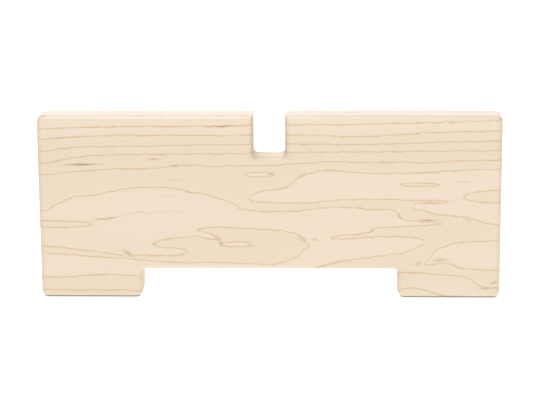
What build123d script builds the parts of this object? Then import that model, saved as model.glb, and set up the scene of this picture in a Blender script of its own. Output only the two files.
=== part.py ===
from build123d import *

import os

# A notched board, cut from one length of maple. It stands on two feet, and the slot in its top edge
# takes a second board of the same stock, set crosswise. There is nothing joined to it, so it is one
# solid. Millimetres: X runs along the board, Y through its thickness from the front face to the
# back, and Z up. The origin is on the surface under the feet, at the middle of the board.

# The blank, sawn to length and width from 3/4 inch stock
LENGTH = 286.0
HEIGHT = 116.0
THICKNESS = 19.0

# The feet, one at each end, and how far they lift the underside between them
FOOT_LENGTH = 63.8
FOOT_HEIGHT = 18.0

# The slot, open at the top and through both faces
SLOT_CLEARANCE = 0.5  # play for a crossing board as thick as this one
SLOT_WIDTH = THICKNESS + SLOT_CLEARANCE
SLOT_DEPTH = 26.0

# The round-over that a bearing-guided cutter leaves along every edge of both faces
EDGE_RADIUS = 3.75

# The corners of the outline, seen from the front
END_CORNER_MARGIN = 0.25  # the cutter turns the corners of the ends on a radius a little over its own
END_CORNER_RADIUS = EDGE_RADIUS + END_CORNER_MARGIN
FOOT_CORNER_RADIUS = 5.0  # the lower corner of each foot beside the gap
GAP_CORNER_RADIUS = 2.0  # where a foot meets the underside
SLOT_CORNER_RADIUS = 3.175  # at the bottom of the slot, left by a 1/4 inch cutter
SLOT_LIP_RADIUS = 0.8  # the mouth of the slot, eased by sanding

END_X = LENGTH / 2
GAP_X = END_X - FOOT_LENGTH
WALL_X = SLOT_WIDTH / 2
SLOT_FLOOR_Z = HEIGHT - SLOT_DEPTH
NEAR = 1e-3  # how far apart two coordinates may be and still count as the same


def corner_pair(sketch, x, z):
    """The corners of the outline at x and at its mirror image, at height z."""
    return [v for v in sketch.vertices() if abs(abs(v.X) - x) < NEAR and abs(v.Y - z) < NEAR]


def outline():
    """The board seen from the front, as a sketch whose second axis is Z."""
    with BuildSketch() as sketch:
        Rectangle(LENGTH, HEIGHT, align=(Align.CENTER, Align.MIN))
        Rectangle(2 * GAP_X, FOOT_HEIGHT, align=(Align.CENTER, Align.MIN), mode=Mode.SUBTRACT)
        with Locations((0, HEIGHT)):
            Rectangle(SLOT_WIDTH, SLOT_DEPTH, align=(Align.CENTER, Align.MAX), mode=Mode.SUBTRACT)
        for x, z, radius in (
            (END_X, HEIGHT, END_CORNER_RADIUS),
            (END_X, 0, END_CORNER_RADIUS),
            (GAP_X, 0, FOOT_CORNER_RADIUS),
            (GAP_X, FOOT_HEIGHT, GAP_CORNER_RADIUS),
            (WALL_X, SLOT_FLOOR_Z, SLOT_CORNER_RADIUS),
        ):
            fillet(corner_pair(sketch, x, z), radius)
    return sketch.sketch


def notched_board():
    """The outline, as thick as the stock, with its edges rounded over and the slot's mouth eased."""
    with BuildPart() as board:
        with BuildSketch(Plane.XZ):
            add(outline())
        extrude(amount=THICKNESS / 2, both=True)
        front, back = board.faces().sort_by(Axis.Y)[0], board.faces().sort_by(Axis.Y)[-1]
        fillet(front.edges() + back.edges(), EDGE_RADIUS)
        lips = [
            edge
            for edge in board.edges()
            if abs(abs(edge.center().X) - WALL_X) < NEAR and abs(edge.center().Z - HEIGHT) < NEAR
        ]
        fillet(lips, SLOT_LIP_RADIUS)
    return board.part


os.makedirs("parts", exist_ok=True)
export_step(notched_board(), "parts/notched_board.step")
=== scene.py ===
import math

import bmesh
import bpy
from mathutils import Matrix, Vector


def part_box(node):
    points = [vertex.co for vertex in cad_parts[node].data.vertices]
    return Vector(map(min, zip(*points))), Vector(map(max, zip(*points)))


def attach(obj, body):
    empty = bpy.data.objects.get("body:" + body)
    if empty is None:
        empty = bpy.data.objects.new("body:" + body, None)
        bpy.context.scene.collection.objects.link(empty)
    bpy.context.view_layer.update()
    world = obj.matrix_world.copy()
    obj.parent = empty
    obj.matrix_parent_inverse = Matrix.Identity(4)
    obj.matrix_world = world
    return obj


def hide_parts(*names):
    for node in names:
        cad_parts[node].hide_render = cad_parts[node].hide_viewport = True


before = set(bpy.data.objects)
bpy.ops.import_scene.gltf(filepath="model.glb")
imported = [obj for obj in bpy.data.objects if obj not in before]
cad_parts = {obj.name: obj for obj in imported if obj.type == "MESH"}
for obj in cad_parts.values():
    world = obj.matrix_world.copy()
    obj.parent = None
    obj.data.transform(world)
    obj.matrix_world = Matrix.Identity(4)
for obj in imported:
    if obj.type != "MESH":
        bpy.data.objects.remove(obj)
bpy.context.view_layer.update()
scene = bpy.context.scene
mm = 0.001


# ------------------------------------------------------------------------------------------------------
# Camera. A long lens a little above the board and a little to its right, which looks down at the board
# so that its flat top edge and the floor of its slot both show.
# ------------------------------------------------------------------------------------------------------

camera_data = bpy.data.cameras.new("camera")
camera_data.sensor_width = 36
camera_data.lens = 150.13
camera_data.clip_end = 20
camera = bpy.data.objects.new("camera", camera_data)
camera_place = Vector((42.2, -1332.5, 421.4)) * mm
heading, look_down, roll = math.radians(1.902), math.radians(15.219), math.radians(-0.423)
camera.matrix_world = (
    Matrix.Translation(camera_place)
    @ Matrix.Rotation(heading, 4, "Z")
    @ Matrix.Rotation(math.pi / 2 - look_down, 4, "X")
    @ Matrix.Rotation(roll, 4, "Z")
)
scene.collection.objects.link(camera)
scene.camera = camera


# ------------------------------------------------------------------------------------------------------
# Shooting table. A sheet of white film that shines by its own emission, standing in for light from
# below, and is lit from above as well, so that it stays white even in the gap between the feet. Its
# emission is painted dark, through an ambient-occlusion mask, only in the crease where a foot stands
# on it: a painted contact shadow.
# ------------------------------------------------------------------------------------------------------


class Wire:
    """One output of a shader node. Arithmetic on wires adds the Math nodes that it stands for."""

    tree = None  # the node tree that new nodes go into

    def __init__(self, socket):
        self.socket = socket

    @classmethod
    def node(cls, kind, settings=None, sockets=None, output=0):
        """Add a node, set it up, then give its sockets their values or links."""
        node = cls.tree.nodes.new(kind)
        for name, value in (settings or {}).items():
            if name == "stops":
                ramp = node.color_ramp.elements
                while len(ramp) < len(value):
                    ramp.new(1)
                for stop, (position, color) in zip(ramp, value):
                    stop.position = position
                    stop.color = (*color, 1)
            else:
                setattr(node, name, value)
        for name, value in (sockets or {}).items():
            if isinstance(value, Wire):
                cls.tree.links.new(value.socket, node.inputs[name])
            else:
                node.inputs[name].default_value = value
        return cls(node.outputs[output])

    def maths(self, operation, *others, first=None):
        """Maths on numbers. What is given as first comes before this wire."""
        values = (self, *others) if first is None else (first, self)
        return Wire.node("ShaderNodeMath", {"operation": operation}, dict(enumerate(values)))

    def vector_maths(self, operation, *others):
        """Vector maths. The scale has a socket of its own, and a dot product or a length is a number."""
        sockets = dict(enumerate((self, *others)))
        if operation == "SCALE":
            sockets = {0: self, "Scale": others[0]}
        output = 1 if operation in ("DOT_PRODUCT", "LENGTH") else 0
        return Wire.node("ShaderNodeVectorMath", {"operation": operation}, sockets, output)

    def __add__(self, other):
        return self.maths("ADD", other)

    def __sub__(self, other):
        return self.maths("SUBTRACT", other)

    def __rsub__(self, other):
        return self.maths("SUBTRACT", first=other)

    def __mul__(self, other):
        return self.maths("MULTIPLY", other)

    def __truediv__(self, other):
        return self.maths("DIVIDE", other)

    def __pow__(self, other):
        return self.maths("POWER", other)

    def __rpow__(self, other):
        return self.maths("POWER", first=other)

    __radd__ = __add__
    __rmul__ = __mul__


def new_material(name, **fixed):
    """A material with one Principled shader, and the values that are the same all over it."""
    material = bpy.data.materials.new(name)
    material.use_nodes = True
    Wire.tree = material.node_tree
    shader = material.node_tree.nodes["Principled BSDF"]
    for socket, value in fixed.items():
        shader.inputs[socket.replace("_", " ")].default_value = value
    return material, shader


film_size = 3.0
film_mesh = bpy.data.meshes.new("film")
film_corners = [(x * film_size, y * film_size, 0) for x, y in ((-1, -1), (1, -1), (1, 1), (-1, 1))]
film_mesh.from_pydata(film_corners, [], [(0, 1, 2, 3)])
film = bpy.data.objects.new("film", film_mesh)
scene.collection.objects.link(film)
film_material, shader = new_material(
    "film", Base_Color=(0.3, 0.3, 0.3, 1), Roughness=0.9, Specular_IOR_Level=0.0, Emission_Strength=1.12
)
# Painted contact shadow: ambient occlusion within 1.2 mm darkens the film's emission in the crease under
# each foot.
crease_openness_for_painted_shadow = Wire.node("ShaderNodeAmbientOcclusion", {"samples": 8}, {"Distance": 1.2 * mm}, output=1)
emission_with_painted_crease_shadow = Wire.node(
    "ShaderNodeMix",
    {"data_type": "RGBA"},
    {"Factor": crease_openness_for_painted_shadow, "A": (0, 0, 0, 1), "B": (1, 1, 1, 1)},
    output=2,
)
Wire.tree.links.new(emission_with_painted_crease_shadow.socket, shader.inputs["Emission Color"])
film_mesh.materials.append(film_material)


# ------------------------------------------------------------------------------------------------------
# Lights. A white room all round. A soft box overhead draws the bright line along the rounded top edge,
# a lit sheet behind the board is mirrored in its flat top and in the floor of the slot, and another in
# front fills the face.
# ------------------------------------------------------------------------------------------------------

room = bpy.data.worlds.new("white_room")
room.use_nodes = True
background = room.node_tree.nodes["Background"]
background.inputs["Color"].default_value = (1, 1, 1, 1)
background.inputs["Strength"].default_value = 0.62
scene.world = room
scene.view_settings.view_transform = "Standard"

middle_of_board = Vector((0, 0, 0.05))
for name, width, height, watts, place in (
    ("soft_box", 1.2, 0.5, 10.5, (-0.2, -0.1, 1.35)),
    ("back_sheet", 3.0, 1.4, 13.5, (0, 1.9, 0.75)),
    ("front_sheet", 1.5, 1.0, 14, (0.3, -2.2, 0.6)),
):
    light = bpy.data.lights.new(name, "AREA")
    light.shape = "RECTANGLE"
    light.size, light.size_y, light.energy = width, height, watts
    lamp = bpy.data.objects.new(name, light)
    lamp.location = place
    lamp.rotation_euler = (middle_of_board - lamp.location).to_track_quat("-Z", "Y").to_euler()
    scene.collection.objects.link(lamp)


# ------------------------------------------------------------------------------------------------------
# The board. One piece of maple, planed, sawn to its outline and worked round both faces with a
# round-over cutter, then sanded. The slot in its top edge takes a crossing board of the same stock.
# ------------------------------------------------------------------------------------------------------

low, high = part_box("notched_board")
length, thickness, tall = high - low
end_x = length / 2
foot_length, foot_height = 63.8 * mm, 18.0 * mm
slot_width, slot_depth = 19.5 * mm, 26.0 * mm
edge_radius = 3.75 * mm
end_corner = edge_radius + 0.25 * mm
foot_corner, gap_corner, slot_corner, slot_lip = 5.0 * mm, 2.0 * mm, 3.175 * mm, 0.8 * mm
gap_x, wall_x, slot_floor = end_x - foot_length, slot_width / 2, tall - slot_depth

# Going round the outline with the wood on the left: x, z, radius, and whether the corner sticks out
right_half = [
    (gap_x, foot_height, gap_corner, False),
    (gap_x, 0, foot_corner, True),
    (end_x, 0, end_corner, True),
    (end_x, tall, end_corner, True),
    (wall_x, tall, slot_lip, True),
    (wall_x, slot_floor, slot_corner, False),
]
corners = right_half + [(-x, z, radius, sticks_out) for x, z, radius, sticks_out in reversed(right_half)]
steps_round_corner = 10
steps_over_edge = 12


def outline(inset):
    """The outline, moved into the wood: its points, and the way out of the wood at each."""
    points = []
    for i, (x, z, radius, sticks_out) in enumerate(corners):
        corner = Vector((x, z))
        arriving = (corner - Vector(corners[i - 1][:2])).normalized()
        leaving = (Vector(corners[(i + 1) % len(corners)][:2]) - corner).normalized()
        out_before, out_after = Vector((arriving.y, -arriving.x)), Vector((leaving.y, -leaving.x))
        if sticks_out:
            turn = max(radius - inset, slot_lip)
            centre = corner - (out_before + out_after) * (inset + turn)
        else:
            turn = -(radius + inset)
            centre = corner + (out_before + out_after) * radius
        for step in range(steps_round_corner + 1):
            angle = math.pi / 2 * step / steps_round_corner
            out = out_before * math.cos(angle) + out_after * math.sin(angle)
            points.append((centre + out * turn, out))
    return points


def board_mesh():
    """Loops of points from the front face to the back face, joined by quads, and the two flat faces."""
    quarter = [math.pi / 2 * step / steps_over_edge for step in range(steps_over_edge + 1)]
    over = [(-1, angle) for angle in reversed(quarter)] + [(1, angle) for angle in quarter]
    bm = bmesh.new()
    loops, normals = [], []
    for side, angle in over:
        inset = edge_radius * (1 - math.cos(angle))
        y = side * (thickness / 2 - edge_radius * (1 - math.sin(angle)))
        loop = []
        for point, out in outline(inset):
            loop.append(bm.verts.new((point.x, y, point.y)))
            normals.append((out.x * math.cos(angle), side * math.sin(angle), out.y * math.cos(angle)))
        loops.append(loop)
    for loop, after in zip(loops, loops[1:]):
        for i in range(len(loop)):
            bm.faces.new((loop[i - 1], after[i - 1], after[i], loop[i]))
    bm.faces.new(loops[0])
    bm.faces.new(loops[-1][::-1])
    mesh = bpy.data.meshes.new("board")
    bm.to_mesh(mesh)
    bm.free()
    for face in mesh.polygons:
        face.use_smooth = True
    mesh.normals_split_custom_set_from_vertices(normals)
    return mesh


board = bpy.data.objects.new("board", board_mesh())
scene.collection.objects.link(board)
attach(board, "root")
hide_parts("notched_board")


# ------------------------------------------------------------------------------------------------------
# The maple. Pale flat-sawn wood under a thin satin oil: a fine tan line wherever a growth ring comes to
# the surface, short dark mineral streaks, and a faint fibre along the board. The ends are duller, as end
# grain is, and carry painted shade besides: every face that looks along the board is darkened.
# ------------------------------------------------------------------------------------------------------

maple, shader = new_material("maple", Coat_Weight=0.25, Coat_Roughness=0.3)

# Counting the rings inwards from the bark gives every point of the board a number. It is lowest along
# the middle of the board, where the saw ran along one layer, and a ring shows where it is whole.
middle_height, rise_of_middle = 44, 0.02
quiet_half_height, ring_spacing = 35.5, 6.1
ring_in_middle = 0.9
rings_per_depth = 0.06
ring_waver = 2.2  # how far a ring wanders up and down, in mm

# The swellings below are those of the front, and fade out this deep, in mm. The wood behind them has
# broader ones of its own.
swell_depth = 14
deep_swell = 4  # in rings
deep_average = 0.45  # of the noise that they are made of

# A ring's line, in mm, and the gentlest slope, in rings to the mm, that still gives it its own width
thinnest_line, widening = 0.2, 0.24
least_slope_in_front, more_slope_behind = 0.03, 0.1

# Where the tree grew thicker or thinner than that: x and height of the middle of the swelling in mm,
# half its length and height in mm, its tilt in degrees, and how many rings it adds
swells = [
    # the straight rings along the top edge
    (-95, 97, 60, 16, 0, -0.35),
    (-120, 117, 32, 5, 0, -0.3),
    (-85, 98, 40, 3, 0, 0.2),
    (60, 103, 30, 6, 0, 0.3),
    (30, 92, 90, 6, 0, -0.22),
    (-145, 88, 20, 12, 0, 0.55),
    (-50, 84, 10, 4, 0, -0.15),
    (-90, 78, 40, 7, 5, 0.1),
    (97, 87, 12, 3, 0, 0.15),
    # the band that runs down from the top left and thins out under the bay on the right
    (-60, 74, 60, 8, -3, 0.35),
    (-20, 66, 20, 5, -25, 0.4),
    (20, 59.3, 32, 2.0, 2, 0.6),
    (60, 60.6, 18, 2.4, 0, 0.5),
    (86, 57.5, 12, 3.0, -20, 0.5),
    (96, 62.2, 12, 0.9, 0, 0.45),
    (112, 50.5, 22, 3, -3, 0.4),
    # the arch in the middle of the board
    (-80, 60, 50, 12, 0, -0.45),
    (-146, 64, 28, 8, 20, 0.6),
    (-108, 68, 12, 4, 10, 0.2),
    (-65, 71.5, 25, 4, 0, -0.2),
    (0, 50, 50, 5, -8, -0.3),
    (42, 57.5, 12, 2.5, 0, -0.35),
    (60, 51, 25, 3.5, -10, -0.2),
    (95, 48.2, 18, 1.2, 0, -0.35),
    # the bay on the right, open to the end of the board
    (85, 74, 60, 9, 0, -0.45),
    (135, 80, 35, 7, 3, -0.4),
    (34, 79, 14, 7, 10, -0.5),
    (55, 80.5, 20, 3, 0, -0.12),
    (0, 65.8, 16, 2.6, 9, -0.6),
    (-17, 61.3, 8, 1.6, -12, 0.3),
    (18, 63.3, 14, 2, 0, -0.4),
    (93, 58.5, 9, 1.6, 5, -0.35),
    (120, 57, 20, 3.5, 0, -0.35),
    (137, 51, 15, 3, 0, -0.35),
    # three small eyes
    (-7, 79.5, 10, 1.6, 0, -0.9),
    (93, 73, 14, 1.4, 0, 0.85),
    (142, 66, 18, 3.2, 0, 0.7),
    # the patch right of the middle
    (115, 42, 36, 6, 0, 0.4),
    (80, 43.5, 16, 3, 0, 0.2),
    (58, 40.2, 26, 1.6, 3, 0.25),
    (88, 41, 15, 2, 0, 0.15),
    # the island under the arch, with its two prongs and the eye in it
    (-3, 34, 27, 10, 0, 0.4),
    (19, 34, 7, 2, 0, 0.25),
    (-35, 43.5, 12, 2.2, 0, 0.2),
    (-40, 40.4, 10, 1.3, -15, -0.4),
    (-50, 36, 16, 2.6, 3, 0.35),
    (-43, 29, 12, 4, 0, 0.15),
    (-68, 25.2, 24, 2.0, -3, 0.35),
    (-64, 30, 12, 1.5, 0, -0.2),
    (-88, 27.5, 4, 1.5, 0, -0.15),
    (-19.5, 34.7, 9, 1.5, 0, -0.7),
    (-30, 19, 40, 3, 0, -0.3),
    (14, 21.5, 12, 3, 20, -0.35),
    # two tongues from the left end
    (-122, 29.3, 32, 1.9, -6, 0.35),
    (-130, 47.7, 20, 1.9, 0, 0.4),
    # the tongue between the island and the right foot
    (60, 33, 30, 5, 12, -0.5),
    (88, 36, 10, 2, 0, -0.2),
    (90, 27, 9, 4, 35, 0.3),
    (29, 33, 9, 12, 0, -0.3),
    # the pocket at the right end
    (128, 27, 28, 7.5, 0, -0.6),
    (98, 22.5, 9, 2.4, 15, -0.45),
    (104, 33.5, 8, 3, 20, 0.25),
    (97, 30, 10, 4, 60, 0.35),
    (122, 19.5, 28, 2, 0, -0.2),
    # the underside and the feet
    (58, 17.5, 38, 5, 5, 0.35),
    (-105, 20, 45, 7, 0, -0.4),
    (-103, 14, 18, 3, 0, 0.2),
    (-110, 1, 50, 6, 0, 0.65),
    (-148, 5, 20, 4, 0, 0.3),
    (98, 11, 40, 10, -3, 1.1),
    (84, 3, 14, 6, 0, 0.6),
    (117, 13, 8, 2, 0, 0.15),
    (136, 8, 12, 3, 0, -0.3),
]

# Mineral streaks: x and height of the middle in mm, half the length and thickness in mm, how far it
# climbs in 1 mm, and how dark it is
streaks = [
    (-115, 85.7, 10, 0.5, 0, 1.0),
    (-71, 89, 3.5, 0.45, 0.03, 0.7),
    (-59, 85, 3.5, 0.4, 0.05, 0.6),
    (-28.5, 109.8, 9, 0.45, 0, 0.9),
    (98, 50.3, 5, 0.45, 0, 1.0),
    (134, 6.2, 4, 0.5, -0.05, 0.7),
    (139, 10, 1.8, 0.8, 0.2, 0.5),
    (-101, 51.2, 7, 0.5, 0.14, 0.8),
    (-80, 55, 9, 0.6, 0.03, 0.25),
    (-60, 55.8, 6, 0.5, 0, 0.25),
    (119, 74.7, 5, 0.5, 0, 0.25),
    (-58.5, 76, 5, 0.5, 0, 0.25),
    (-62.5, 66, 3, 0.4, 0, 0.25),
    (-89.5, 100.5, 3, 0.4, 0, 0.25),
    # where rings pinch together
    (-88, 28.5, 3.2, 1.2, -0.6, 0.55),
    (-69, 26.8, 3, 0.5, 0, 0.3),
    (-32.5, 38.4, 2.2, 0.9, -0.5, 0.5),
    (-30, 35.2, 1.6, 1.2, -0.3, 0.4),
    (-11, 33.8, 2, 0.7, 0.1, 0.3),
    (20, 38, 2.6, 0.6, -0.3, 0.4),
    (28, 37.8, 1.8, 0.6, 0, 0.45),
    (21, 79.5, 3, 0.6, 0.3, 0.4),
    (1.5, 79.5, 2.4, 0.8, 0, 0.35),
    (99, 61.6, 5, 0.5, 0, 0.35),
    (56, 58.4, 2, 0.6, -0.3, 0.3),
    (122, 50.8, 2, 0.6, -0.4, 0.35),
    (105, 24.6, 4, 0.9, 0.1, 0.5),
    (92.5, 22.8, 1.6, 1.2, 0.5, 0.45),
]



def noise(where, grain, detail, **more):
    """Noise from 0 to 1, whose grain is that long, deep and high in mm."""
    stretched = where.vector_maths("MULTIPLY", [1 / size for size in grain])
    sockets = {"Vector": stretched, "Scale": 1.0, "Detail": detail, **more}
    return Wire.node("ShaderNodeTexNoise", {}, sockets)


place = Wire.node("ShaderNodeTexCoord", output=3).vector_maths("SCALE", 1 / mm)
waver = noise(place, (7, 3, 3), 3.0, Roughness=0.6)
lift = Wire.node("ShaderNodeCombineXYZ", {}, {"Z": (waver - 0.5) * ring_waver})
point = place.vector_maths("ADD", lift)
axes = (1, 0, 0), (0, 1, 0), (0, 0, 1)
along, depth, height = (point.vector_maths("DOT_PRODUCT", axis) for axis in axes)
along_upright = Wire.node("ShaderNodeCombineXYZ", {}, {"Z": along})


def hump(x, z, half_length, half_height, climb):
    """A smooth hump, 1 at its middle, and where the point lies in it, counted in half sizes."""
    level = point
    if climb:
        level = along_upright.vector_maths("MULTIPLY_ADD", (0, 0, -climb), point)
    inside = level.vector_maths(
        "MULTIPLY_ADD",
        (1 / half_length, 0, 1 / half_height),
        (-x / half_length, 0, (x * climb - z) / half_height),
    )
    return math.exp(-1) ** inside.vector_maths("DOT_PRODUCT", inside), inside


def level_oval(half_length, half_height, tilt):
    """The level oval that turns into the tilted one if it climbs: its half sizes, and the climb in 1 mm."""
    turn = math.radians(tilt)
    reach = math.hypot(half_length * math.cos(turn), half_height * math.sin(turn))
    climb = (half_length**2 - half_height**2) * math.sin(turn) * math.cos(turn) / reach**2
    return reach, half_length * half_height / reach, climb


extra = 0
extra_slope = (0, 0, 0)
for x, z, half_length, half_height, tilt, count in swells:
    half_length, half_height, climb = level_oval(half_length, half_height, tilt)
    swell, inside = hump(x, z, half_length, half_height, climb)
    extra = swell.maths("MULTIPLY_ADD", count, extra)
    fall = inside.vector_maths("SCALE", swell)
    steepest = (-2 * count / half_length, 0, -2 * count / half_height)
    extra_slope = fall.vector_maths("MULTIPLY_ADD", steepest, extra_slope)

into_board = depth + thickness / 2 / mm
fade = math.exp(-1) ** (into_board * into_board * (1 / swell_depth**2))
from_middle = height - middle_height - along * rise_of_middle
outward = (from_middle.maths("ABSOLUTE") - quiet_half_height) / ring_spacing
bend = (outward * outward + 1).maths("SQRT")
deep = noise(point, (95, 40, 20), 0.0)
extra = extra * fade + (1 - fade) * (deep - deep_average) * deep_swell
rings = ring_in_middle + 0.5 * (outward + bend) - rings_per_depth * into_board + extra
steepness = from_middle.maths("SIGN") * (0.5 / ring_spacing) * (1 + outward / bend)
faded_slope = extra_slope.vector_maths("SCALE", fade)
slope = faded_slope.vector_maths("ADD", Wire.node("ShaderNodeCombineXYZ", {}, {"Z": steepness}))

least_slope = least_slope_in_front + (1 - fade) * more_slope_behind
slope_size = slope.vector_maths("LENGTH").maths("MAXIMUM", least_slope)
line_width = thinnest_line + waver * widening
from_ring = (rings - rings.maths("ROUND")).maths("ABSOLUTE") / slope_size / line_width
ring_line = math.exp(-1) ** (from_ring * from_ring)

streak = 0
for x, z, half_length, half_height, climb, darkness in streaks:
    streak = hump(x, z, half_length, half_height, climb)[0].maths("MULTIPLY_ADD", darkness, streak)
streak = streak * fade

fibre = noise(place, (14, 0.8, 0.8), 3.0)
cloud = noise(place, (26, 9, 9), 2.0)
outwards = Wire.node("ShaderNodeTexCoord", output=1).vector_maths("DOT_PRODUCT", (1, 0, 0))
end_grain = outwards * outwards
pores = noise(place, (0.625, 0.625, 0.625), 2.0)


def blend(factor, a, b, mode="MIX"):
    """Colour a with colour b over it, as strongly as the factor says."""
    return Wire.node(
        "ShaderNodeMix",
        {"data_type": "RGBA", "blend_type": mode},
        {"Factor": factor, "A": a, "B": b},
        output=2,
    )


pale_wood = (0.638, 0.527, 0.408)
wood = (0.619, 0.508, 0.385)
warm_wood = (0.613, 0.500, 0.378)
line_color = (0.50, 0.318, 0.150, 1)
streak_color = (0.34, 0.195, 0.065, 1)
end_grain_and_painted_shade_color = (0.94, 0.91, 0.88, 1)

# Paler and warmer wood by turns, from ring to ring
most_rings = 8
wood_color = Wire.node(
    "ShaderNodeValToRGB",
    {
        "stops": [
            (0.85 / most_rings, pale_wood),
            (1.1 / most_rings, wood),
            (3.0 / most_rings, warm_wood),
            (4.8 / most_rings, wood),
            (5.6 / most_rings, pale_wood),
        ]
    },
    {"Fac": rings / most_rings},
)
pale_foot = hump(108, 3, 42, 13, 0)[0] * fade
color = blend(pale_foot, wood_color, (*pale_wood, 1))
color = color.vector_maths("SCALE", 0.96 + fibre * 0.05 + cloud * 0.03)
color = blend(ring_line * (0.55 + waver * 0.6), color, line_color)
color = blend(streak.maths("MINIMUM", 1), color, streak_color)
# Faces that look along the board are darkened: partly the duller end grain, partly painted shade.
end_grain_and_painted_shade = (end_grain * (0.7 + pores * 0.6)).maths("MINIMUM", 1)
color = blend(end_grain_and_painted_shade, color, end_grain_and_painted_shade_color, "MULTIPLY")
Wire.tree.links.new(color.socket, shader.inputs["Base Color"])

roughness = 0.36 + fibre * 0.12 + end_grain * 0.1
Wire.tree.links.new(roughness.socket, shader.inputs["Roughness"])
raised_fibre = {"Height": fibre, "Strength": 0.25, "Distance": 0.03 * mm}
fibre_bump = Wire.node("ShaderNodeBump", {}, raised_fibre)
Wire.tree.links.new(fibre_bump.socket, shader.inputs["Normal"])
board.data.materials.append(maple)
